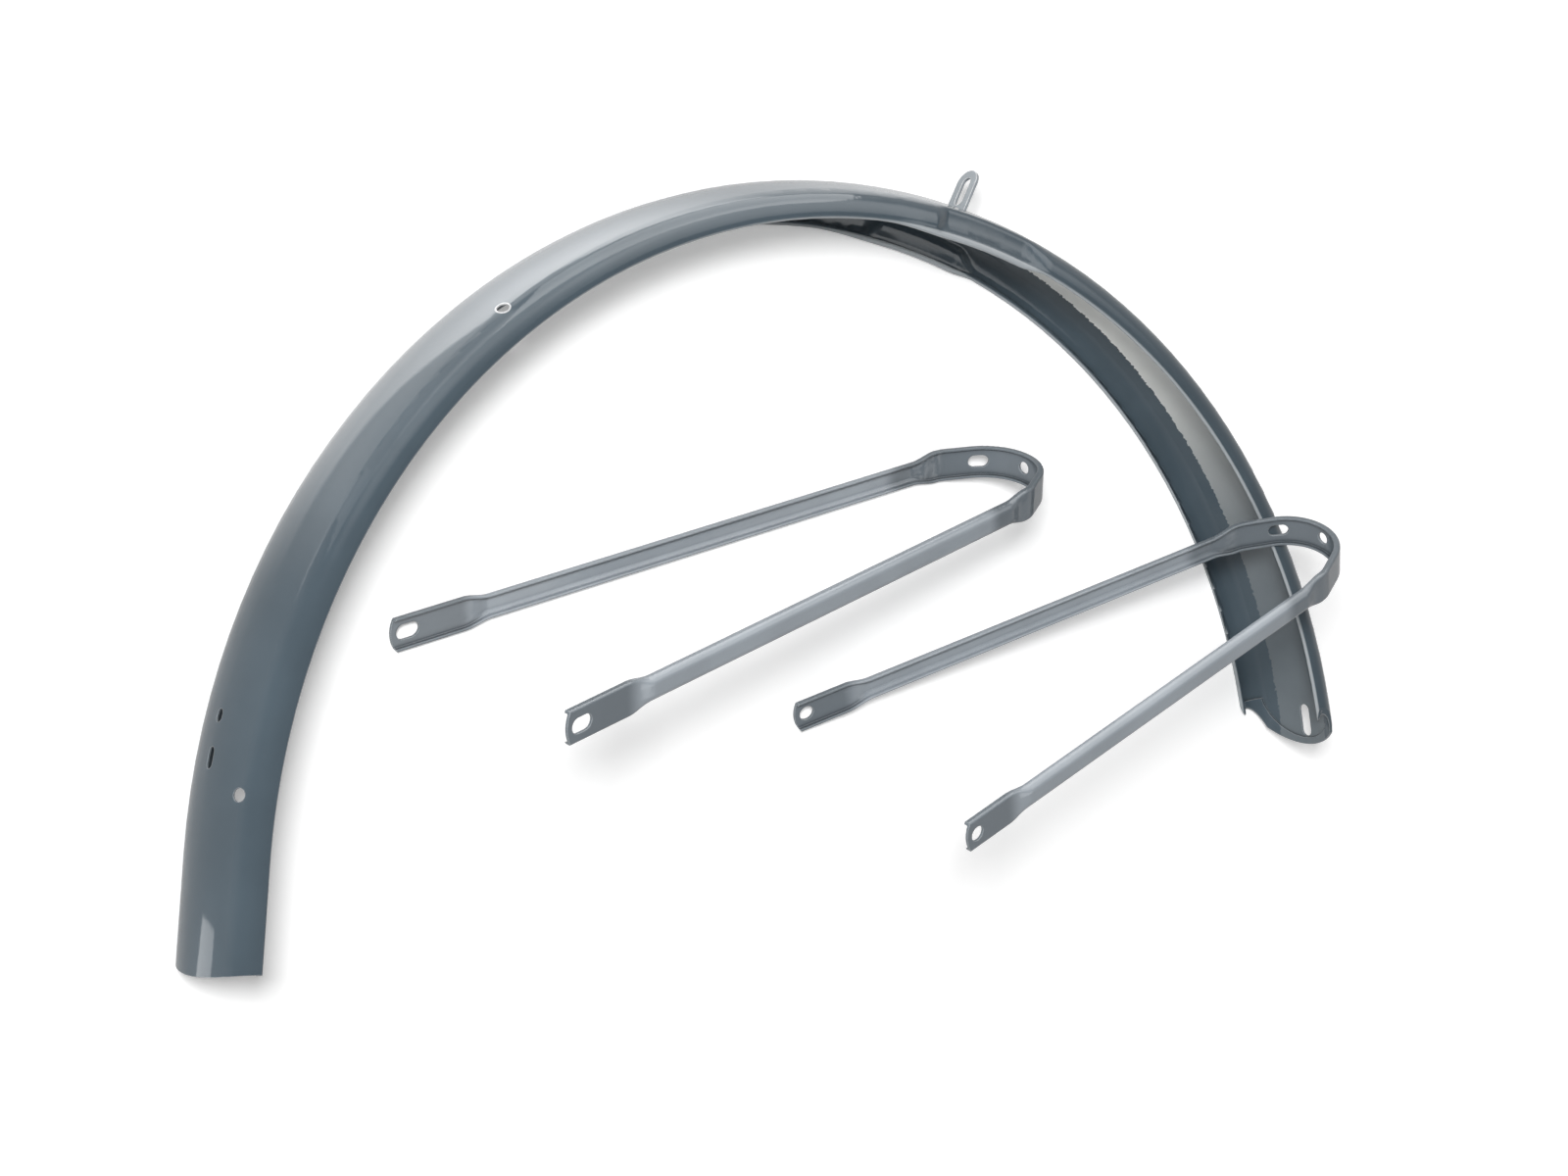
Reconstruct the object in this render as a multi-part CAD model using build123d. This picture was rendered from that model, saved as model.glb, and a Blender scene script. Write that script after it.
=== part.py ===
from build123d import *
import math
import os

os.makedirs("parts", exist_ok=True)

# Rear mudguard of a city bicycle: a pressed steel blade, its bridge tab and two loose V-shaped stays.
# The blade lies on one rim. Angles run along the arch from its top, forward is positive.

# Blade section
CROWN_RADIUS = 365.0
BLADE_WIDTH = 66.6
BLADE_DEPTH = 21.5
SHEET = 0.9
CROWN_CURVE = 60.0
SHOULDER_CURVE = 14.0
RIM_RADIUS = 1.5

# Blade length along the arch, rear tail and front nose
FRONT_ANGLE = 84.9
REAR_BEND_ANGLE = -77.7
TAIL_LENGTH = 55.0
TAIL_BULGE = 4.0
NOSE_LENGTH = 28.0
NOSE_SHOULDER = 18.0
NOSE_HALF_WIDTH = 26.0
NOSE_SLOT_LENGTH = 19.0
NOSE_SLOT_WIDTH = 7.0
NOSE_SLOT_EDGE = 4.7
HEM_DEPTH = 4.0
HEM_POINT = 27.0
NOSE_BLANK_SHARE = 1.2

# Pressed dents that clear the frame, one in each flank, and the rim's drop below them
DENT_REAR_ANGLE = 16.2
DENT_REAR_RAMP = 1.8
DENT_FRONT_ANGLE = 29.8
DENT_FRONT_RAMP = 3.2
DENT_DEPTH = 5.0
DENT_SHOULDER_CURVE = 4.5
DENT_RIM_INSET = 1.5
DENT_RIM_DROP = 2.4
DENT_RIM_RAMP = 6.0
DENT_SECTIONS = 6

# Holes in the blade
STAY_HOLE = 6.5
STAY_HOLE_SIDE = 24.5
STAY_HOLE_ANGLES = (-28.3, -72.6)
LAMP_SLOT_WIDTH = 5.0
LAMP_SLOT_LENGTHS = {-67.0: 6.5, -70.2: 10.5}

# Bridge tab, welded under the crown and passing up through a slit
TAB_ANGLE = 22.1
TAB_LEAN = 13.0
TAB_WIDTH = 15.8
TAB_HEIGHT = 25.0
TAB_THICKNESS = 1.8
TAB_SLOT_WIDTH = 6.5
TAB_SLOT_LENGTH = 17.0
TAB_FOOT_LENGTH = 14.0
TAB_SEAT_GAP = 0.1
TAB_SLIT_GAP = 0.3

# Stays: flat tabs, channelled legs and a flat bend, all from one strip
STRIP_HALF = 9.15
STRIP_SHEET = 1.4
STRIP_RIM = 3.6
LEG_HALF = 6.6
LEG_SHOULDER = 0.6
WEB_HALF = 4.2
WEB_RAISE = 1.75
SHOULDER_ROUND = 1.4
WEB_ROUND = 1.4
INNER_ROUND = 0.5
RIM_END_ROUND = 0.4
NECK_LENGTH = 16.0
NECK_SECTIONS = 6
NECK_RAISE_START = 0.35
TAB_END_BULGE = 2.5
BEND_RADIUS = 30.0
BEND_FLARE_ANGLE = 28.0
BEND_EASE_RADIUS = 20.0
BEND_HALF_WIDTH = 36.0
BEND_HOLE = 7.0
BEND_SLOT_LENGTH = 11.5
EYE_WIDTH = 8.5
LEG_TURN_STEPS = 8

# Each stay: reach and spread, tabs and their eyes, and how it lies: the long one stands on the floor,
# the short one leans with its bend on the blade's upper rim
LONG_STAY = {
    "reach": 389.0, "spread": 136.1, "tab": 43.0, "eye_length": 13.5, "eye_from_end": 10.0,
    "heading": 6.28, "x": -223.6, "y": 161.8,
}
SHORT_STAY = {
    "reach": 324.5, "spread": 146.0, "tab": 32.0, "eye_length": 8.5, "eye_from_end": 7.5,
    "heading": 11.9, "tip": 23.0, "rest_angle": 67.55, "rest_gap": 0.2,
}

MID = BLADE_WIDTH / 2
AXIS_HEIGHT = Vector(0, 0, MID)


def along(angle):
    """Turns a shape drawn at the top of the arch to an angle along it."""
    return Rot(0, 0, -angle)


def arch_plane(angle, lean=0.0, depth=0.0, side=0.0):
    """A plane on the crown, x along the arch and z outward, leaning sideways by a side tilt."""
    forward = math.radians(angle)
    tilt = math.radians(side)
    out = Vector(math.sin(forward), math.cos(forward), 0)
    ahead = Vector(math.cos(forward), -math.sin(forward), 0)
    middle = out * (CROWN_RADIUS - depth) + AXIS_HEIGHT + Vector(0, 0, lean)
    normal = out * math.cos(tilt) + Vector(0, 0, math.sin(tilt))
    return Plane(middle, x_dir=ahead, z_dir=normal)


def arc_edge(points):
    """An arc through three points given as (radius, side) at the top of the arch."""
    return ThreePointArc(*[(0, radius, MID + side) for radius, side in points])


def straight_edge(start, end):
    """A line between two points given as (radius, side) at the top of the arch."""
    return Line((0, start[0], MID + start[1]), (0, end[0], MID + end[1]))


def half_profile(half, inset, curve=SHOULDER_CURVE):
    """Crown top, crown to shoulder joint, mid shoulder and flank top, as (radius, side)."""
    opening = math.asin((half - curve) / (CROWN_CURVE - curve))
    crown = CROWN_CURVE - inset
    shoulder = curve - inset
    base = CROWN_RADIUS - CROWN_CURVE
    centre = (base + (CROWN_CURVE - curve) * math.cos(opening), half - curve)
    middle = (opening + math.pi / 2) / 2
    return {
        "top": (base + crown, 0.0),
        "joint": (base + crown * math.cos(opening), crown * math.sin(opening)),
        "mid": (centre[0] + shoulder * math.cos(middle), centre[1] + shoulder * math.sin(middle)),
        "flank": (centre[0], half - inset),
    }


def mirrored(point):
    return (point[0], -point[1])


def crown_edges(profile):
    """Flank top to flank top over the crown: shoulder, crown and shoulder arcs."""
    flank, mid, joint = profile["flank"], profile["mid"], profile["joint"]
    return [
        arc_edge([flank, mid, joint]),
        arc_edge([joint, profile["top"], mirrored(joint)]),
        arc_edge([mirrored(joint), mirrored(mid), mirrored(flank)]),
    ]


def rim_points(half, drop):
    """Outer foot of the flank, far point of the rolled rim and where it meets the sheet inside."""
    centre = (CROWN_RADIUS - BLADE_DEPTH + RIM_RADIUS - drop, half - RIM_RADIUS)
    rise = math.sqrt(RIM_RADIUS**2 - (RIM_RADIUS - SHEET) ** 2)
    meet_angle = math.atan2(rise, RIM_RADIUS - SHEET)
    far_angle = meet_angle / 2 - math.pi
    far = (centre[0] + RIM_RADIUS * math.sin(far_angle), centre[1] + RIM_RADIUS * math.cos(far_angle))
    return (centre[0], half), far, (centre[0] + rise, half - SHEET)


def flank_edge(foot, top):
    """The flank from its foot to its top: straight, or drawn in by a soft double bend."""
    if abs(foot[1] - top[1]) < 1e-6:
        return straight_edge(foot, top)
    rise = (top[0] - foot[0]) / 3
    controls = [foot, (foot[0] + rise, foot[1]), (top[0] - 2 * rise, top[1]), top]
    return Bezier(*[(0, radius, MID + side) for radius, side in controls])


def blade_face(press=0.0, sink=0.0):
    """The blade's section at the top of the arch, its flanks pressed in and its rims sunk by shares."""
    half = MID - DENT_DEPTH * press
    curve = SHOULDER_CURVE + (DENT_SHOULDER_CURVE - SHOULDER_CURVE) * press
    outer = half_profile(half, 0.0, curve)
    inner = half_profile(half, SHEET, curve)
    foot, far, meet = rim_points(MID - DENT_RIM_INSET * sink, DENT_RIM_DROP * sink)
    edges = [flank_edge(foot, outer["flank"])]
    edges += crown_edges(outer)
    edges += [
        flank_edge(mirrored(foot), mirrored(outer["flank"])),
        arc_edge([mirrored(foot), mirrored(far), mirrored(meet)]),
        flank_edge(mirrored(meet), mirrored(inner["flank"])),
    ]
    edges += reversed(crown_edges(inner))
    edges += [flank_edge(meet, inner["flank"]), arc_edge([meet, far, foot])]
    return Face(Wire(edges))


def arch_piece(face, first, last):
    """Turns a section from one angle to a greater one along the arch."""
    return revolve(along(last) * face, axis=Axis.Z, revolution_arc=last - first)


def eased(share):
    """Runs smoothly from 0 to 1 as a share does, and stays level outside that."""
    share = min(max(share, 0.0), 1.0)
    return share * share * (3 - 2 * share)


def dented_face(angle):
    """The section at an angle along the dents, turned to its place."""
    fall = eased((DENT_FRONT_ANGLE - angle) / DENT_FRONT_RAMP)
    press = min(fall, eased((angle - DENT_REAR_ANGLE) / DENT_REAR_RAMP))
    rim_start = DENT_REAR_ANGLE - DENT_RIM_RAMP
    sink = min(fall, eased((angle - rim_start) / (DENT_RIM_RAMP + DENT_REAR_RAMP)))
    return along(angle) * blade_face(press, sink)


def dent_loft(first, last):
    """A stretch of the dents between two angles, through evenly spaced sections."""
    step = (last - first) / (DENT_SECTIONS - 1)
    return loft([dented_face(first + step * number) for number in range(DENT_SECTIONS)])


def dent_piece():
    """The stretch of blade with the dents: sinking rim, sharp rear end, level pocket and soft front end."""
    rear = DENT_REAR_ANGLE + DENT_REAR_RAMP
    front = DENT_FRONT_ANGLE - DENT_FRONT_RAMP
    piece = arch_piece(blade_face(1.0, 1.0), rear, front)
    piece += dent_loft(DENT_REAR_ANGLE - DENT_RIM_RAMP, DENT_REAR_ANGLE)
    piece += dent_loft(DENT_REAR_ANGLE, rear)
    return piece + dent_loft(front, DENT_FRONT_ANGLE)


def tail_piece():
    """The straight rear end, carried on along the arch's last direction, with a bulging edge."""
    plane = arch_plane(REAR_BEND_ANGLE)
    tail = extrude(along(REAR_BEND_ANGLE) * blade_face(), amount=TAIL_LENGTH, dir=-plane.x_dir)
    corner = TAIL_LENGTH - TAIL_BULGE
    edge = Polyline((-corner, -MID), (-2 * TAIL_LENGTH, -MID), (-2 * TAIL_LENGTH, MID), (-corner, MID))
    bulge = ThreePointArc((-corner, MID), (-TAIL_LENGTH, 0), (-corner, -MID))
    waste = plane * make_face([edge, bulge])
    return tail - extrude(waste, amount=2 * BLADE_DEPTH, both=True)


def nose_face():
    """The front end beyond the flanks, flattened: sloping shoulders and a rounded tip."""
    sides = Polyline(
        (NOSE_SHOULDER, -NOSE_HALF_WIDTH), (0, -MID), (0, MID), (NOSE_SHOULDER, NOSE_HALF_WIDTH)
    )
    tip = ThreePointArc(
        (NOSE_SHOULDER, NOSE_HALF_WIDTH), (NOSE_LENGTH, 0), (NOSE_SHOULDER, -NOSE_HALF_WIDTH)
    )
    return make_face([sides, tip])


def hem_face():
    """The strip of the nose that is folded back inside, between its cut edge and the outline."""
    reach = NOSE_LENGTH - HEM_DEPTH
    inside = Polyline((0, HEM_POINT), (0, -HEM_POINT))
    cut_edge = ThreePointArc((0, -HEM_POINT), (reach, 0), (0, HEM_POINT))
    return nose_face() - make_face([inside, cut_edge])


def through_nose(face):
    """Runs a flat outline at the front end through the sheet, both ways."""
    return extrude(arch_plane(FRONT_ANGLE) * face, amount=2 * BLADE_DEPTH, both=True)


def nose_piece(last):
    """Everything in front of the flanks' ends, with its folded hem inside."""
    lining = half_profile(MID, SHEET)
    fold = half_profile(MID, 2 * SHEET)
    ends = [straight_edge(fold["flank"], lining["flank"])]
    ends.append(straight_edge(mirrored(lining["flank"]), mirrored(fold["flank"])))
    layer = Face(Wire(ends + crown_edges(lining) + crown_edges(fold)))
    sheet = arch_piece(blade_face(), FRONT_ANGLE, last) & through_nose(nose_face())
    hem = arch_piece(layer, FRONT_ANGLE, last) & through_nose(hem_face())
    return sheet + hem


def sheet_hole(angle, side, width, length):
    """A hole square to the sheet at an angle along the arch and a distance beside its middle."""
    tilt = math.asin(side / CROWN_CURVE)
    sink = CROWN_CURVE * (1 - math.cos(tilt))
    plane = arch_plane(angle, lean=side, depth=sink, side=math.degrees(tilt))
    outline = Circle(width / 2) if length <= width else SlotOverall(length, width)
    return extrude(plane * outline, amount=3 * SHEET, both=True)


def tab_plane():
    """The tab's own plane at the crown: x across the blade, y up the tab, z forward."""
    seat = arch_plane(TAB_ANGLE)
    lean = math.radians(TAB_LEAN)
    up = seat.z_dir * math.cos(lean) + seat.x_dir * math.sin(lean)
    return Plane(seat.origin, x_dir=Vector(0, 0, 1), z_dir=Vector(0, 0, 1).cross(up))


def tab_outline(width, foot):
    """A straight-sided plate with a half-round top, reaching down by a foot below the crown."""
    straight = TAB_HEIGHT - TAB_WIDTH / 2
    plate = Pos(0, (straight - foot) / 2) * Rectangle(width, straight + foot)
    return plate + Pos(0, straight) * Circle(width / 2)


def tab_blank(width, thickness, foot):
    return extrude(tab_plane() * tab_outline(width, foot), amount=thickness / 2, both=True)


def bridge_tab():
    """An angle plate: a slotted upright and a foot that follows the inside of the crown."""
    low = SHEET + TAB_SEAT_GAP
    start = TAB_ANGLE
    finish = TAB_ANGLE + math.degrees(TAB_FOOT_LENGTH / CROWN_RADIUS)
    upper = half_profile(MID, low)
    lower = half_profile(MID, low + TAB_THICKNESS)
    ends = [straight_edge(lower["joint"], upper["joint"])]
    ends.append(straight_edge(mirrored(upper["joint"]), mirrored(lower["joint"])))
    tops = [arc_edge([p["joint"], p["top"], mirrored(p["joint"])]) for p in (upper, lower)]
    strip = arch_piece(Face(Wire(ends + tops)), start, finish)
    sides = arch_plane(start) * Rectangle(4 * TAB_FOOT_LENGTH, TAB_WIDTH)
    foot = strip & extrude(sides, amount=CROWN_CURVE, both=True)
    upright = tab_blank(TAB_WIDTH, TAB_THICKNESS, low + TAB_THICKNESS / 2)
    top_centre = TAB_HEIGHT - TAB_WIDTH / 2
    slot_middle = top_centre + (TAB_SLOT_WIDTH - TAB_SLOT_LENGTH) / 2
    slot = Pos(0, slot_middle) * Rot(0, 0, 90) * SlotOverall(TAB_SLOT_LENGTH, TAB_SLOT_WIDTH)
    hole = extrude(tab_plane() * slot, amount=2 * TAB_THICKNESS, both=True)
    return upright + foot - hole


def blade():
    """The whole pressed sheet: arch, dents, straight tail and hemmed nose, with its holes."""
    dent_start = DENT_REAR_ANGLE - DENT_RIM_RAMP
    dent_end = DENT_FRONT_ANGLE
    tip = FRONT_ANGLE + math.degrees(NOSE_BLANK_SHARE * NOSE_LENGTH / CROWN_RADIUS)
    sheet = arch_piece(blade_face(), REAR_BEND_ANGLE, dent_start)
    sheet += dent_piece()
    sheet += arch_piece(blade_face(), dent_end, FRONT_ANGLE)
    sheet += tail_piece()
    sheet += nose_piece(tip)
    for angle in STAY_HOLE_ANGLES:
        sheet -= sheet_hole(angle, STAY_HOLE_SIDE, STAY_HOLE, STAY_HOLE)
    for angle, length in LAMP_SLOT_LENGTHS.items():
        sheet -= sheet_hole(angle, 0.0, LAMP_SLOT_WIDTH, length)
    slot_middle = NOSE_LENGTH - NOSE_SLOT_EDGE - NOSE_SLOT_LENGTH / 2
    slot_angle = FRONT_ANGLE + math.degrees(slot_middle / CROWN_RADIUS)
    sheet -= sheet_hole(slot_angle, 0.0, NOSE_SLOT_WIDTH, NOSE_SLOT_LENGTH)
    slit = tab_blank(TAB_WIDTH + 2 * TAB_SLIT_GAP, TAB_THICKNESS + 2 * TAB_SLIT_GAP, 3 * SHEET)
    return (sheet - slit).fix()


def rounded_outline(corners):
    """A closed outline through corners given as (outward, across, length cut off each side)."""
    points = [Vector(out, across) for out, across, _ in corners]
    rounds = []
    for number, (_, _, cut) in enumerate(corners):
        corner = points[number]
        back = (points[number - 1] - corner).normalized()
        ahead = (points[(number + 1) % len(points)] - corner).normalized()
        start, finish = corner + back * cut, corner + ahead * cut
        middle = (back + ahead) / 2
        flatness = middle.length
        if flatness < 1e-4:
            rounds.append(Line(start, finish))
            continue
        depth = cut * (1 - math.sqrt(1 - flatness**2)) / flatness
        rounds.append(ThreePointArc(start, corner + middle.normalized() * depth, finish))
    sides = [Line(rounds[number - 1] @ 1, rounds[number] @ 0) for number in range(len(rounds))]
    return Face(Wire([edge for pair in zip(sides, rounds) for edge in pair]))


def strip_section(narrow=0.0, raised=0.0):
    """Web with two short rims turned inward, flat at the tabs and bend, narrow and raised in the legs."""
    half = STRIP_HALF + (LEG_HALF - STRIP_HALF) * narrow
    web = WEB_RAISE * raised
    depth = STRIP_SHEET + (LEG_SHOULDER - STRIP_SHEET / 2) * narrow
    outer = [
        (-STRIP_RIM, half, RIM_END_ROUND),
        (-LEG_SHOULDER * narrow, half, SHOULDER_ROUND),
        (web, WEB_HALF, WEB_ROUND),
    ]
    inner = [
        (web - STRIP_SHEET, WEB_HALF - raised * STRIP_SHEET / 2, INNER_ROUND),
        (-depth, half - STRIP_SHEET, INNER_ROUND),
        (-STRIP_RIM, half - STRIP_SHEET, RIM_END_ROUND),
    ]
    near = inner + outer
    far = [(out, -across, cut) for out, across, cut in reversed(near)]
    return rounded_outline(near + far)


def leg_turn(stay):
    """The angle of each leg to the stay's middle line."""
    slope = 0.0
    for _ in range(LEG_TURN_STEPS):
        start, _ = bend_start(slope)
        slope = math.atan2(stay["spread"] / 2 - BEND_HALF_WIDTH, stay["reach"] - start)
    return slope


def bend_start(slope):
    """How far before the bend's top the leg ends, and the length of the flared flat."""
    flare = math.radians(BEND_FLARE_ANGLE)
    eased = BEND_HALF_WIDTH - BEND_EASE_RADIUS * (math.cos(slope) - math.cos(flare))
    length = (eased - BEND_RADIUS * math.cos(flare)) / math.sin(flare)
    ease = BEND_EASE_RADIUS * (math.sin(flare) - math.sin(slope))
    return BEND_RADIUS * (1 - math.sin(flare)) + length * math.cos(flare) + ease, length


def bend_path(stay):
    """The bend's middle line from the end of the far leg to the end of the near leg."""
    slope = leg_turn(stay)
    flare = math.radians(BEND_FLARE_ANGLE)
    back, length = bend_start(slope)
    start = Vector(stay["reach"] - back, -BEND_HALF_WIDTH)
    half_turn = (slope + flare) / 2
    centre = start + Vector(-math.sin(slope), math.cos(slope)) * BEND_EASE_RADIUS
    eased_mid = centre + Vector(math.sin(half_turn), -math.cos(half_turn)) * BEND_EASE_RADIUS
    eased = centre + Vector(math.sin(flare), -math.cos(flare)) * BEND_EASE_RADIUS
    flared = eased + Vector(math.cos(flare), math.sin(flare)) * length
    top = Vector(stay["reach"], 0)
    far_side = [start, eased_mid, eased, flared]
    near_side = [Vector(point.X, -point.Y) for point in far_side]
    edges = [
        ThreePointArc(start, eased_mid, eased),
        Line(eased, flared),
        ThreePointArc(flared, top, near_side[3]),
        Line(near_side[3], near_side[2]),
        ThreePointArc(near_side[2], near_side[1], near_side[0]),
    ]
    return Wire(edges)


def far_leg_plane(stay, distance):
    """A section plane on the far leg, x outward and y across the strip, at a distance from its end."""
    slope = leg_turn(stay)
    along_leg = Vector(math.cos(slope), math.sin(slope))
    outward = Vector(math.sin(slope), -math.cos(slope))
    end = Vector(0, -stay["spread"] / 2)
    return Plane(end + along_leg * distance, x_dir=outward, z_dir=-along_leg)


def tab_end_waste():
    """What is cut from a tab's square end to leave it bulging."""
    start = (TAB_END_BULGE, -STRIP_HALF)
    finish = (TAB_END_BULGE, STRIP_HALF)
    square = Polyline(start, (-STRIP_HALF, -STRIP_HALF), (-STRIP_HALF, STRIP_HALF), finish)
    return make_face([square, ThreePointArc(finish, (0, 0), start)])


def leg_length(stay):
    slope = leg_turn(stay)
    back, _ = bend_start(slope)
    return (stay["reach"] - back) / math.cos(slope)


def straight_leg(stay, first, last, face):
    """A stretch of the far leg of one section."""
    plane = far_leg_plane(stay, first)
    return extrude(plane * face, amount=last - first, dir=-plane.z_dir)


def neck(stay, flat_end, leg_end):
    """The smooth change between a flat stretch and the raised channel."""
    sections = []
    for number in range(NECK_SECTIONS):
        share = number / (NECK_SECTIONS - 1)
        raised = eased((share - NECK_RAISE_START) / (1 - NECK_RAISE_START))
        plane = far_leg_plane(stay, flat_end + (leg_end - flat_end) * share)
        sections.append(plane * strip_section(eased(share), raised))
    return loft(sections)


def far_leg(stay):
    """Tab, neck, channelled leg and neck again, up to the bend, with its eye and rounded end."""
    length = leg_length(stay)
    first = stay["tab"] + NECK_LENGTH
    last = length - NECK_LENGTH
    leg = straight_leg(stay, 0.0, stay["tab"], strip_section()) + neck(stay, stay["tab"], first)
    leg += straight_leg(stay, first, last, strip_section(1.0, 1.0))
    leg += neck(stay, length, last)
    face = far_leg_plane(stay, 0)
    tab = Plane(face.origin, x_dir=-face.z_dir, z_dir=face.x_dir)
    leg -= extrude(tab * tab_end_waste(), amount=2 * STRIP_RIM, both=True)
    round_eye = stay["eye_length"] <= EYE_WIDTH
    eye = Circle(EYE_WIDTH / 2) if round_eye else SlotOverall(stay["eye_length"], EYE_WIDTH)
    return leg - extrude(tab * Pos(stay["eye_from_end"], 0) * eye, amount=2 * STRIP_SHEET, both=True)


def bend_hole_plane(stay, side):
    """A plane on the bend's crown arc, x along the strip and z outward, at a distance to one side."""
    turn = math.asin(side / BEND_RADIUS)
    outward = Vector(math.cos(turn), math.sin(turn))
    centre = Vector(stay["reach"] - BEND_RADIUS, 0)
    strip_way = Vector(-math.sin(turn), math.cos(turn))
    return Plane(centre + outward * BEND_RADIUS, x_dir=strip_way, z_dir=outward)


def stay_shape(stay):
    """One stay about its own middle line: x from the tabs to the bend, far leg at -y."""
    leg = far_leg(stay)
    bend = sweep(far_leg_plane(stay, leg_length(stay)) * strip_section(), path=bend_path(stay))
    bend -= extrude(bend_hole_plane(stay, 0.0) * Circle(BEND_HOLE / 2), amount=2 * STRIP_SHEET, both=True)
    side_slot = bend_hole_plane(stay, -STAY_HOLE_SIDE) * SlotOverall(BEND_SLOT_LENGTH, BEND_HOLE)
    bend -= extrude(side_slot, amount=2 * STRIP_SHEET, both=True)
    return leg + bend + mirror(leg, about=Plane.XZ)


def standing(stay):
    """Stands a stay on its far leg, tipped until the raised web and the flats' edges both touch down."""
    slope = leg_turn(stay)
    heading = math.radians(stay["heading"])
    tip = math.atan2(WEB_RAISE, STRIP_HALF - WEB_HALF)
    leg = Vector(math.cos(heading), math.sin(heading), 0)
    beside = Vector(-math.sin(heading), math.cos(heading), 0)
    up = Vector(0, 0, math.cos(tip)) - beside * math.sin(tip)
    middle = leg * math.cos(slope) - up * math.sin(slope)
    across = leg * math.sin(slope) + up * math.cos(slope)
    far_end = Vector(stay["x"], stay["y"], STRIP_HALF * math.sin(tip))
    return Plane(far_end + across * (stay["spread"] / 2), x_dir=middle, z_dir=leg.cross(up))


def leaning(stay):
    """Leans a stay with its far tab on the floor and the flare of its bend on the blade's upper rim."""
    slope, flare = leg_turn(stay), math.radians(BEND_FLARE_ANGLE)
    heading, tip = math.radians(stay["heading"]), math.radians(stay["tip"])
    rest = math.radians(stay["rest_angle"])
    ahead = stay["reach"] - BEND_RADIUS * (1 - math.sin(flare))
    beside = stay["spread"] / 2 - BEND_RADIUS * math.cos(flare)
    run = ahead * math.cos(slope) + beside * math.sin(slope)
    rise = math.cos(tip) * (beside * math.cos(slope) - ahead * math.sin(slope))
    pitch = math.asin((BLADE_WIDTH + stay["rest_gap"]) / math.hypot(run, rise)) - math.atan2(rise, run)
    flat = Vector(math.cos(heading), math.sin(heading), 0)
    leg = flat * math.cos(pitch) + Vector(0, 0, math.sin(pitch))
    side = Vector(-math.sin(heading), math.cos(heading), 0)
    up = leg.cross(side) * math.cos(tip) - side * math.sin(tip)
    strip = up.cross(leg)
    middle = leg * math.cos(slope) - up * math.sin(slope)
    across = leg * math.sin(slope) + up * math.cos(slope)
    rim = CROWN_RADIUS - BLADE_DEPTH
    touch = Vector(rim * math.sin(rest), rim * math.cos(rest), BLADE_WIDTH + stay["rest_gap"])
    far_end = touch - middle * ahead - across * beside + strip * STRIP_HALF
    return Plane(far_end + across * (stay["spread"] / 2), x_dir=middle, z_dir=-strip)


def set_down(piece):
    """Lowers a placed piece until it touches the floor."""
    return Pos(0, 0, -piece.bounding_box().min.Z) * piece


pieces = {
    "blade": blade(),
    "bridge_tab": bridge_tab(),
    "slotted_stay": set_down(standing(LONG_STAY) * stay_shape(LONG_STAY)),
    "round_eye_stay": set_down(leaning(SHORT_STAY) * stay_shape(SHORT_STAY)),
}
box = Compound(list(pieces.values())).bounding_box()
to_origin = Pos(-box.center().X, -box.center().Y, -box.min.Z)
for name, piece in pieces.items():
    export_step(to_origin * piece, f"parts/{name}.step")
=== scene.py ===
import bpy
from mathutils import Matrix, Vector

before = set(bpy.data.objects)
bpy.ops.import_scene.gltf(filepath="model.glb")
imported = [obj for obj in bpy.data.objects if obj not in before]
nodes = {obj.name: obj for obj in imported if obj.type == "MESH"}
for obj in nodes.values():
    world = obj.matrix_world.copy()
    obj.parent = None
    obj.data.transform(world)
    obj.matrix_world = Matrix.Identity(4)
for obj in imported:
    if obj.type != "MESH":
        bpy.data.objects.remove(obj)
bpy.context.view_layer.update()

# Lengths are in metres. A SPAN is where a ramp starts and stops, its LEVELS are the values it runs between.
ALONG_X = (1.0, 0.0, 0.0)
ALONG_Y = (0.0, 1.0, 0.0)
ALONG_Z = (0.0, 0.0, 1.0)
IN_WHEEL_PLANE = (1.0, 1.0, 0.0)
RISE = (0.0, 1.0)
FADE = (1.0, 0.0)

# The photograph's camera: place, right-hand and backward directions, lens and sensor in millimetres
CAMERA_PLACE = Vector((-1.0768, 0.17425, 1.5293))
CAMERA_RIGHT = Vector((0.8007, -0.1040, 0.5900))
CAMERA_BACK = Vector((-0.5801, 0.1112, 0.8069))
CAMERA_LENS = 81.1
SENSOR_WIDTH = 36.0
CLIP_START = 0.05
CLIP_END = 50.0

# Places on the part: middle of the wheel and of the blade's width, and the upper stay hole
WHEEL = (0.0017, -0.1847, 0.0333)
WHEEL_ON_FLOOR = (0.0017, -0.1847, 0.0)
UPPER_HOLE = (-0.1689, 0.1321, 0.0578)

# Each stay: middle of its eyes, middle of its bend, and where its raised web runs between them
LONG_STAY_EYES = (-0.2035, -0.0432, 0.0658)
LONG_STAY_BEND = (0.1704, 0.0096, 0.0333)
LONG_STAY_WEB = (0.030, 0.318)
SHORT_STAY_EYES = (0.0272, -0.1322, 0.0705)
SHORT_STAY_BEND = (0.3328, -0.0516, 0.0951)
SHORT_STAY_WEB = (0.022, 0.256)
WEB_EASE = 0.012

# Colours of the paint, of the unpainted lining, of the painted reflection along the stays' webs, of painted
# highlights on edges and rims, and of painted shade in creases
PAINT = (0.061, 0.084, 0.103)
STAY_PAINT = (0.150, 0.174, 0.195)
WEB_PAINTED_SHEEN = (0.312, 0.346, 0.380)
TAB_PAINT = (0.28, 0.31, 0.335)
LINING = (0.84, 0.85, 0.82)
SOFT_EDGE_HIGHLIGHT = (0.46, 0.49, 0.51)
BRIGHT_EDGE_HIGHLIGHT = (0.80, 0.80, 0.80)
CREASE_SHADE = (0.022, 0.027, 0.032)
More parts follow.
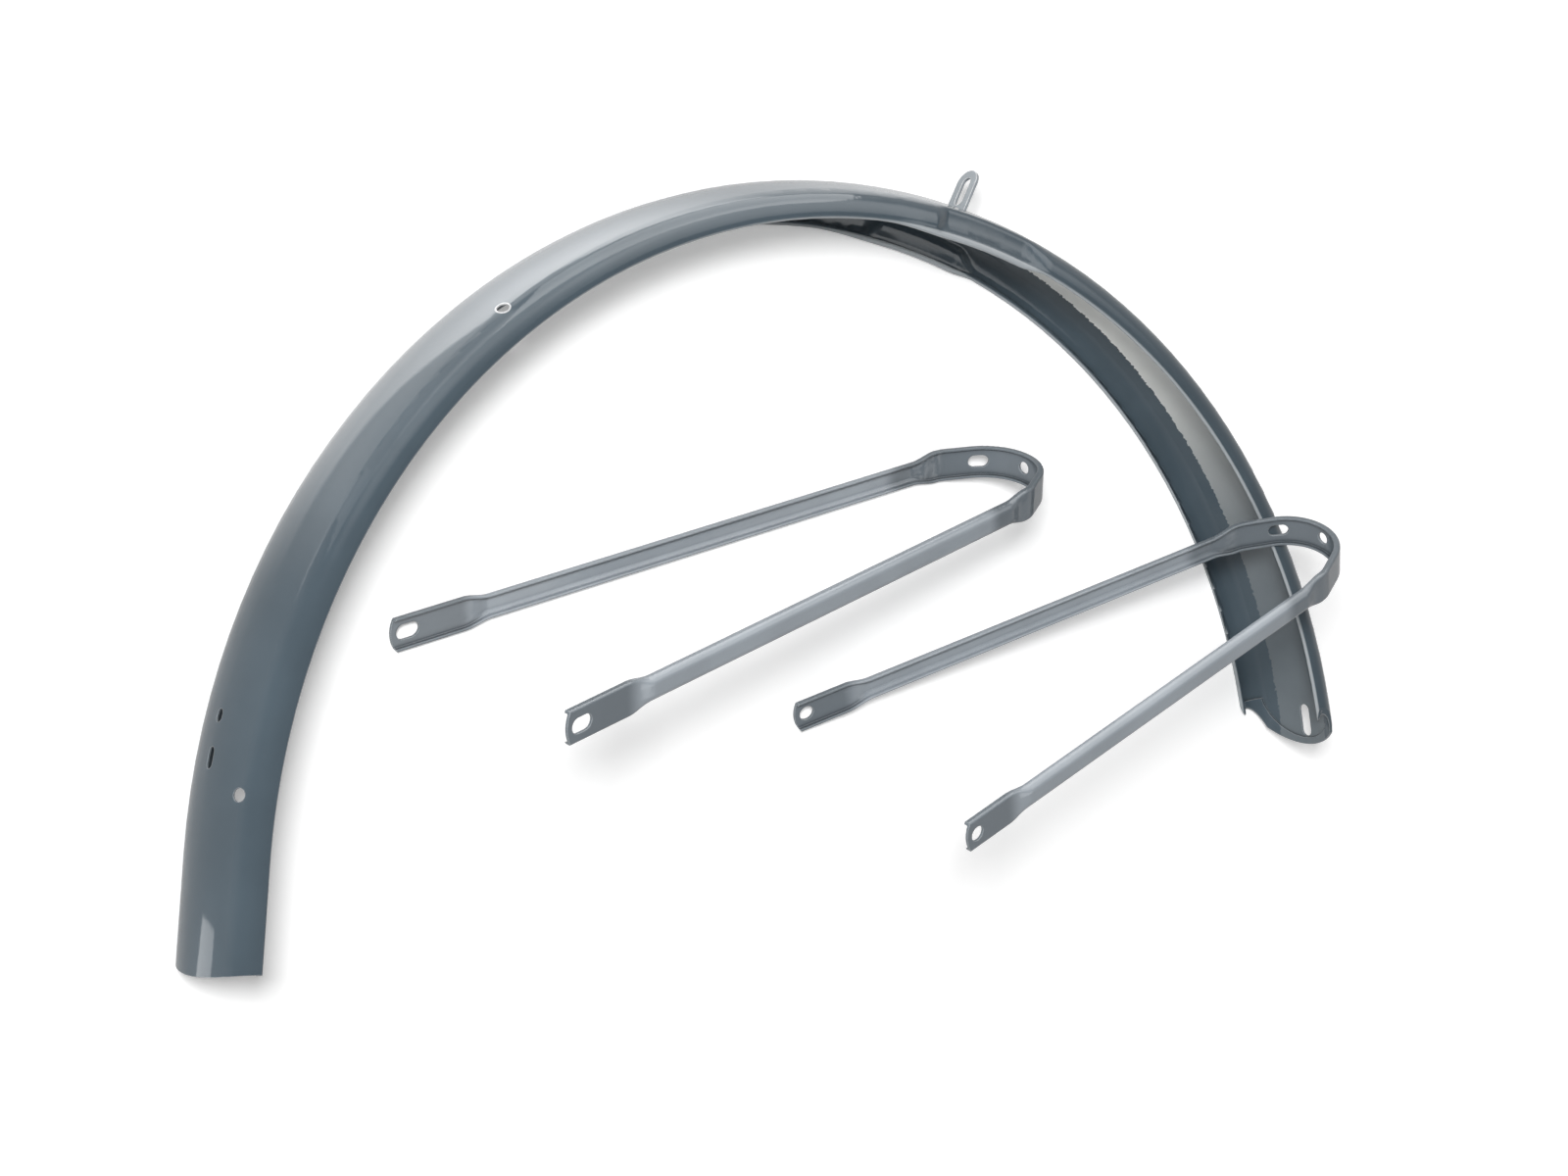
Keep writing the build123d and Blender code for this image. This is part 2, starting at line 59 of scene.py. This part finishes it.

# Painted highlight on sharp edges and painted shade in creases
EDGE_RADIUS = 0.0009
EDGE_SAMPLES = 6
EDGE_SPAN = (0.85, 0.985)
EDGE_HIGHLIGHT_SHARE = 0.6
TAB_EDGE_HIGHLIGHT_SHARE = 1.0
CREASE_REACH = 0.004
CREASE_SAMPLES = 8
CREASE_SPAN = (0.55, 0.95)
CREASE_LEVELS = (0.80, 0.0)

# Clouds and orange peel of the paint, and its gloss
CLOUD_SCALE = 22.0
CLOUD_DETAIL = 4.0
CLOUD_SPAN = (0.3, 0.7)
CLOUD_LEVELS = (0.94, 1.06)
PEEL_SCALE = 420.0
PEEL_DETAIL = 1.5
PEEL_HEIGHT = 0.0004
BLADE_PEEL = 0.06
SMALL_PART_PEEL = 0.12
PAINT_ROUGHNESS = 0.40
PAINT_SPECULAR = 0.12
COAT_WEIGHT = 1.0
COAT_IOR = 1.42
COAT_ROUGHNESS = 0.05

# Lining of the blade: faces towards the wheel, up to a ragged border, fading into the paint towards the
# front end
INSIDE_SPAN = (-0.5, -0.4)
BORDER_SPAN = (0.0199, 0.0202)
BORDER_SCALE = 520.0
BORDER_DETAIL = 3.0
BORDER_DEPTH = 0.0034
LINING_END_SPAN = (0.24, 0.36)
LINING_END_LEVELS = (1.0, 0.08)

# Painted highlight on the rims, by distance from the wheel's middle, and a painted highlight ringing the
# upper stay hole
RIM_SPAN = (0.3438, 0.3447)
RIM_LEVELS = (0.7, 0.0)
RING_SPAN = (0.0036, 0.0044)
RING_LEVELS = (0.8, 0.0)

# Floor: its colour as it is lit, its colour in the gloss, and the glow that makes it white to the camera
FLOOR_HALF = 4.0
FLOOR_COLOUR = (0.86, 0.86, 0.86, 1.0)
REFLECTED_FLOOR = (0.52, 0.52, 0.52, 1.0)
GLOW_SPAN = (-0.5, 0.9)
GLOW_LEVELS = (0.18, 0.43)

# Light table on the floor: brighter away from the arch, ending at two straight edges, dimmer to each side
TABLE_SPAN = (0.355, 0.46)
TABLE_LEVELS = (0.4, 5.7)
LOWER_EDGE = (-0.75, 0.66, 0.0)
LOWER_EDGE_SPAN = (0.268, 0.282)
UPPER_EDGE = (-0.87, 0.49, 0.0)
UPPER_EDGE_SPAN = (0.276, 0.290)
TABLE_EDGE_LEVELS = (1.0, 0.3)
LEFT_SIDE = (0.66, 0.75, 0.0)
LEFT_SPAN = (-0.20, -0.08)
RIGHT_SIDE = (0.8, -0.6, 0.0)
RIGHT_SPAN = (-0.26, -0.10)
RIGHT_LEVELS = (1.0, 0.25)
FAR_RIGHT_SPAN = (0.0, 0.15)
FAR_RIGHT_LEVELS = (1.0, 0.1)

# Bright strip on the floor beyond the blade's rear end
STRIP_START_SPAN = (-0.454, -0.450)
STRIP_STOP_SPAN = (-0.402, -0.398)
STRIP_END_SPAN = (-0.131, -0.127)
STRIP_LEVELS = (3.4, 0.0)

# Sky: its strength from the horizon upwards, and three soft patches in it by their directions
SKY_SPAN = (0.0, 0.6)
SKY_LEVELS = (0.75, 0.27)
BACK_PATCH = (0.10, 0.72, 0.69)
BACK_PATCH_SPAN = (0.86, 0.99)
BACK_PATCH_LEVELS = (0.0, 2.4)
RIGHT_PATCH = (0.600, 0.420, 0.680)
RIGHT_PATCH_SPAN = (0.900, 0.990)
RIGHT_PATCH_LEVELS = (0.0, 3.0)
FRONT_PATCH = (0.500, -0.500, 0.707)
FRONT_PATCH_SPAN = (0.945, 0.995)
FRONT_PATCH_LEVELS = (0.0, 2.4)

# Key lamp, from the camera's left
KEY_PLACE = (-1.75, 0.75, 2.50)
KEY_TARGET = (0.0, 0.0, 0.0)
KEY_SIZE = 0.65
KEY_WATTS = 96.0

# Cards behind the arch and to the left of it
BACK_CARD_PLACE = (0.46, 1.28, 0.50)
BACK_CARD_TARGET = (0.05, 0.15, 0.05)
BACK_CARD_SIZE = (1.2, 0.9)
BACK_CARD_WATTS = 12.0
LEFT_CARD_PLACE = (-0.62, 1.28, 0.50)
LEFT_CARD_TARGET = (-0.2, 0.15, 0.05)
LEFT_CARD_SIZE = (1.0, 0.9)
LEFT_CARD_WATTS = 3.4


def add_camera():
    data = bpy.data.cameras.new("camera")
    data.sensor_fit = "HORIZONTAL"
    data.sensor_width = SENSOR_WIDTH
    data.lens = CAMERA_LENS
    data.clip_start = CLIP_START
    data.clip_end = CLIP_END
    camera = bpy.data.objects.new("camera", data)
    back = CAMERA_BACK.normalized()
    up = back.cross(CAMERA_RIGHT).normalized()
    right = up.cross(back)
    turn = Matrix((right, up, back)).transposed().to_4x4()
    camera.matrix_world = Matrix.Translation(CAMERA_PLACE) @ turn
    bpy.context.scene.collection.objects.link(camera)
    bpy.context.scene.camera = camera


def aim(light, place, target):
    """Puts a light at a place, facing a target."""
    direction = Vector(target) - Vector(place)
    turn = direction.to_track_quat("-Z", "Y").to_matrix().to_4x4()
    light.matrix_world = Matrix.Translation(Vector(place)) @ turn
    bpy.context.scene.collection.objects.link(light)


def matt_lamp(name, place, target, size, watts):
    """A square lamp that lights the part without showing in the gloss."""
    data = bpy.data.lights.new(name, "AREA")
    data.size = size
    data.energy = watts
    light = bpy.data.objects.new(name, data)
    light.visible_glossy = False
    aim(light, place, target)


def gloss_card(name, place, target, size, watts):
    """A bright card that only the gloss shows."""
    data = bpy.data.lights.new(name, "AREA")
    data.shape = "RECTANGLE"
    data.size, data.size_y = size
    data.energy = watts
    light = bpy.data.objects.new(name, data)
    light.visible_diffuse = False
    aim(light, place, target)


class Tree:
    """Makes the nodes of a material or the world and joins them."""

    def __init__(self, owner):
        self.tree = owner.node_tree
        self.tree.nodes.clear()

    def add(self, kind, **values):
        node = self.tree.nodes.new("ShaderNode" + kind)
        for socket, value in values.items():
            self.set(node.inputs[socket.replace("_", " ")], value)
        return node

    def set(self, socket, value):
        if isinstance(value, bpy.types.NodeSocket):
            self.tree.links.new(value, socket)
        else:
            socket.default_value = value

    def math(self, kind, *values):
        node = self.add("Math")
        node.operation = kind
        for socket, value in zip(node.inputs, values):
            self.set(socket, value)
        return node.outputs[0]

    def times(self, first, second):
        return self.math("MULTIPLY", first, second)

    def vector(self, kind, *values):
        node = self.add("VectorMath")
        node.operation = kind
        for socket, value in zip(node.inputs, values):
            self.set(socket, value)
        return node.outputs["Value" if kind in ("DOT_PRODUCT", "DISTANCE", "LENGTH") else "Vector"]

    def along(self, place, direction):
        """How far a place lies in a direction."""
        return self.vector("DOT_PRODUCT", place, direction)

    def ramp(self, value, span, levels):
        """Runs smoothly between two levels while the value crosses the span, and stays level outside it."""
        node = self.add("MapRange")
        node.interpolation_type = "SMOOTHSTEP"
        for socket, entry in zip(node.inputs, (value, *span, *levels)):
            self.set(socket, entry)
        return node.outputs[0]

    def noise(self, place, scale, detail):
        return self.add("TexNoise", Vector=place, Scale=scale, Detail=detail).outputs["Fac"]

    def mix(self, web_sheen, first, second):
        """The first colour, with a share of the second."""
        node = self.add("Mix")
        node.data_type = "RGBA"
        colour_sockets = (node.inputs[0], node.inputs[6], node.inputs[7])
        for socket, entry in zip(colour_sockets, (web_sheen, first, second)):
            self.set(socket, entry)
        return node.outputs[2]


def new_material(name):
    material = bpy.data.materials.new(name)
    material.use_nodes = True
    return material, Tree(material)


def light_table(tree, place):
    """Strength of the light table and of the strip beyond the rear end, which only the gloss shows."""
    away = tree.ramp(tree.vector("DISTANCE", place, WHEEL_ON_FLOOR), TABLE_SPAN, TABLE_LEVELS)
    lower = tree.ramp(tree.along(place, LOWER_EDGE), LOWER_EDGE_SPAN, TABLE_EDGE_LEVELS)
    upper = tree.ramp(tree.along(place, UPPER_EDGE), UPPER_EDGE_SPAN, TABLE_EDGE_LEVELS)
    edge = tree.math("MAXIMUM", lower, upper)
    left = tree.ramp(tree.along(place, LEFT_SIDE), LEFT_SPAN, RISE)
    rightward = tree.along(place, RIGHT_SIDE)
    near_right = tree.ramp(rightward, RIGHT_SPAN, RIGHT_LEVELS)
    far_right = tree.ramp(rightward, FAR_RIGHT_SPAN, FAR_RIGHT_LEVELS)
    sides = tree.times(left, tree.times(near_right, far_right))
    table = tree.times(tree.times(away, edge), sides)
    x = tree.along(place, ALONG_X)
    strip = tree.times(tree.ramp(x, STRIP_START_SPAN, RISE), tree.ramp(x, STRIP_STOP_SPAN, FADE))
    strength = tree.ramp(tree.along(place, ALONG_Y), STRIP_END_SPAN, STRIP_LEVELS)
    return tree.math("MULTIPLY_ADD", strip, strength, table)


def floor_material():
    """White to the camera, with bright areas in the gloss, and still darkened by the part's shadow."""
    material, tree = new_material("floor")
    path = tree.add("LightPath").outputs
    place = tree.add("TexCoord").outputs["Object"]
    seen = tree.math("MAXIMUM", path["Is Camera Ray"], path["Is Transmission Ray"])
    glow = tree.times(seen, tree.ramp(tree.along(place, ALONG_X), GLOW_SPAN, GLOW_LEVELS))
    strength = tree.math("MULTIPLY_ADD", path["Is Glossy Ray"], light_table(tree, place), glow)
    bright = tree.add("Emission", Strength=strength)
    colour = tree.mix(path["Is Glossy Ray"], FLOOR_COLOUR, REFLECTED_FLOOR)
    matt = tree.add("BsdfDiffuse", Color=colour)
    both = tree.add("AddShader")
    tree.set(both.inputs[0], matt.outputs[0])
    tree.set(both.inputs[1], bright.outputs[0])
    tree.add("OutputMaterial", Surface=both.outputs[0])
    return material


def add_floor():
    half = FLOOR_HALF
    corners = [(-half, -half, 0), (half, -half, 0), (half, half, 0), (-half, half, 0)]
    mesh = bpy.data.meshes.new("floor")
    mesh.from_pydata(corners, [], [(0, 1, 2, 3)])
    mesh.materials.append(floor_material())
    floor = bpy.data.objects.new("floor", mesh)
    bpy.context.scene.collection.objects.link(floor)


def add_sky():
    """A plain white sky, brighter towards the horizon, with soft patches that only the gloss shows."""
    world = bpy.data.worlds.new("studio")
    world.use_nodes = True
    tree = Tree(world)
    direction = tree.add("TexCoord").outputs["Generated"]
    back = tree.ramp(tree.along(direction, BACK_PATCH), BACK_PATCH_SPAN, BACK_PATCH_LEVELS)
    right = tree.ramp(tree.along(direction, RIGHT_PATCH), RIGHT_PATCH_SPAN, RIGHT_PATCH_LEVELS)
    front = tree.ramp(tree.along(direction, FRONT_PATCH), FRONT_PATCH_SPAN, FRONT_PATCH_LEVELS)
    patches = tree.math("ADD", tree.math("ADD", back, right), front)
    plain = tree.ramp(tree.along(direction, ALONG_Z), SKY_SPAN, SKY_LEVELS)
    gloss = tree.add("LightPath").outputs["Is Glossy Ray"]
    sky = tree.add("Background", Strength=tree.math("MULTIPLY_ADD", gloss, patches, plain))
    tree.add("OutputWorld", Surface=sky.outputs[0])
    bpy.context.scene.world = world


def rgba(colour, factor=1.0):
    return [factor * part for part in colour] + [1.0]


def cloudy(tree, place, colour):
    """A colour with the slight clouds of sprayed paint."""
    clouds = tree.ramp(tree.noise(place, CLOUD_SCALE, CLOUD_DETAIL), CLOUD_SPAN, RISE)
    dark, pale = CLOUD_LEVELS
    return tree.mix(clouds, rgba(colour, dark), rgba(colour, pale))


def paint(tree, place, colour, peel, highlight_colour=SOFT_EDGE_HIGHLIGHT, highlight_share=EDGE_HIGHLIGHT_SHARE):
    """Glossy paint with orange peel and a clear coat, with a painted highlight on sharp edges and painted
    shade in creases.
    """
    plain = tree.add("NewGeometry").outputs["Normal"]
    bevel = tree.add("Bevel", Radius=EDGE_RADIUS)
    bevel.samples = EDGE_SAMPLES
    rounded = bevel.outputs["Normal"]
    # Painted highlight: sharp edges, found from the bevelled normal, turn pale
    edge = tree.ramp(tree.along(plain, rounded), EDGE_SPAN, (highlight_share, 0.0))
    colour = tree.mix(edge, colour, rgba(highlight_colour))
    # Painted shade: creases, found by ambient occlusion, turn dark
    corner = tree.add("AmbientOcclusion", Distance=CREASE_REACH)
    corner.samples = CREASE_SAMPLES
    corner.only_local = True
    crease_shade = tree.ramp(corner.outputs["AO"], CREASE_SPAN, CREASE_LEVELS)
    colour = tree.mix(crease_shade, colour, rgba(CREASE_SHADE))
    bump = tree.add("Bump", Strength=peel, Distance=PEEL_HEIGHT, Normal=rounded)
    tree.set(bump.inputs["Height"], tree.noise(place, PEEL_SCALE, PEEL_DETAIL))
    skin = tree.add("BsdfPrincipled", Base_Color=colour, Roughness=PAINT_ROUGHNESS)
    tree.set(skin.inputs["Normal"], bump.outputs["Normal"])
    tree.set(skin.inputs["Coat Normal"], bump.outputs["Normal"])
    skin.inputs["Specular IOR Level"].default_value = PAINT_SPECULAR
    skin.inputs["Coat Weight"].default_value = COAT_WEIGHT
    skin.inputs["Coat IOR"].default_value = COAT_IOR
    skin.inputs["Coat Roughness"].default_value = COAT_ROUGHNESS
    tree.add("OutputMaterial", Surface=skin.outputs["BSDF"])


def blade_paint():
    """Paint outside and along the flanks, and a pale lining where the spray did not reach."""
    material, tree = new_material("blade_paint")
    place = tree.add("TexCoord").outputs["Object"]
    from_wheel = tree.vector("SUBTRACT", place, WHEEL)
    spoke = tree.vector("MULTIPLY", from_wheel, IN_WHEEL_PLANE)
    outward = tree.vector("NORMALIZE", spoke)
    facing = tree.along(tree.add("NewGeometry").outputs["Normal"], outward)
    inside = tree.ramp(facing, INSIDE_SPAN, FADE)
    across = tree.math("ABSOLUTE", tree.along(from_wheel, ALONG_Z))
    noise = tree.noise(place, BORDER_SCALE, BORDER_DETAIL)
    ragged = tree.math("MULTIPLY_ADD", noise, BORDER_DEPTH, across)
    middle = tree.ramp(ragged, BORDER_SPAN, FADE)
    front_fade = tree.ramp(tree.along(place, ALONG_X), LINING_END_SPAN, LINING_END_LEVELS)
    lined = tree.times(tree.times(inside, middle), front_fade)
    colour = tree.mix(lined, cloudy(tree, place, PAINT), cloudy(tree, place, LINING))
    # Painted highlight along both rims
    rim_highlight = tree.ramp(tree.vector("LENGTH", spoke), RIM_SPAN, RIM_LEVELS)
    colour = tree.mix(rim_highlight, colour, rgba(SOFT_EDGE_HIGHLIGHT))
    # Painted highlight ringing the upper stay hole
    ring_highlight = tree.ramp(tree.vector("DISTANCE", place, UPPER_HOLE), RING_SPAN, RING_LEVELS)
    colour = tree.mix(ring_highlight, colour, rgba(BRIGHT_EDGE_HIGHLIGHT))
    paint(tree, place, colour, BLADE_PEEL)
    return material


def tab_paint():
    """Paint with a bright painted highlight along the edges."""
    material, tree = new_material("tab_paint")
    place = tree.add("TexCoord").outputs["Object"]
    colour = cloudy(tree, place, TAB_PAINT)
    # Tab edges carry a bright painted highlight
    paint(tree, place, colour, SMALL_PART_PEEL, BRIGHT_EDGE_HIGHLIGHT, TAB_EDGE_HIGHLIGHT_SHARE)
    return material


def stay_paint(name, eyes, bend, web):
    """Paint with a painted reflection that makes it paler along the raised web, which lies between two
    distances from the eyes.
    """
    material, tree = new_material(name)
    place = tree.add("TexCoord").outputs["Object"]
    axis = (Vector(bend) - Vector(eyes)).normalized()
    run = tree.along(tree.vector("SUBTRACT", place, eyes), axis)
    start, stop = web
    # Painted reflection: the web between the two distances is paler
    begun = tree.ramp(run, (start, start + WEB_EASE), RISE)
    not_ended = tree.ramp(run, (stop - WEB_EASE, stop), FADE)
    web_sheen = tree.times(begun, not_ended)
    colour = tree.mix(web_sheen, cloudy(tree, place, STAY_PAINT), cloudy(tree, place, WEB_PAINTED_SHEEN))
    paint(tree, place, colour, SMALL_PART_PEEL)
    return material


def dress(node, material):
    """Gives a CAD node one material."""
    mesh = nodes[node].data
    mesh.materials.clear()
    mesh.materials.append(material)


add_camera()
add_sky()
add_floor()
matt_lamp("key", KEY_PLACE, KEY_TARGET, KEY_SIZE, KEY_WATTS)
gloss_card("back_card", BACK_CARD_PLACE, BACK_CARD_TARGET, BACK_CARD_SIZE, BACK_CARD_WATTS)
gloss_card("left_card", LEFT_CARD_PLACE, LEFT_CARD_TARGET, LEFT_CARD_SIZE, LEFT_CARD_WATTS)

dress("blade", blade_paint())
dress("bridge_tab", tab_paint())
long_stay_paint = stay_paint("slotted_stay_paint", LONG_STAY_EYES, LONG_STAY_BEND, LONG_STAY_WEB)
dress("slotted_stay", long_stay_paint)
short_stay_paint = stay_paint("round_eye_stay_paint", SHORT_STAY_EYES, SHORT_STAY_BEND, SHORT_STAY_WEB)
dress("round_eye_stay", short_stay_paint)

bpy.context.scene.view_settings.view_transform = "Standard"
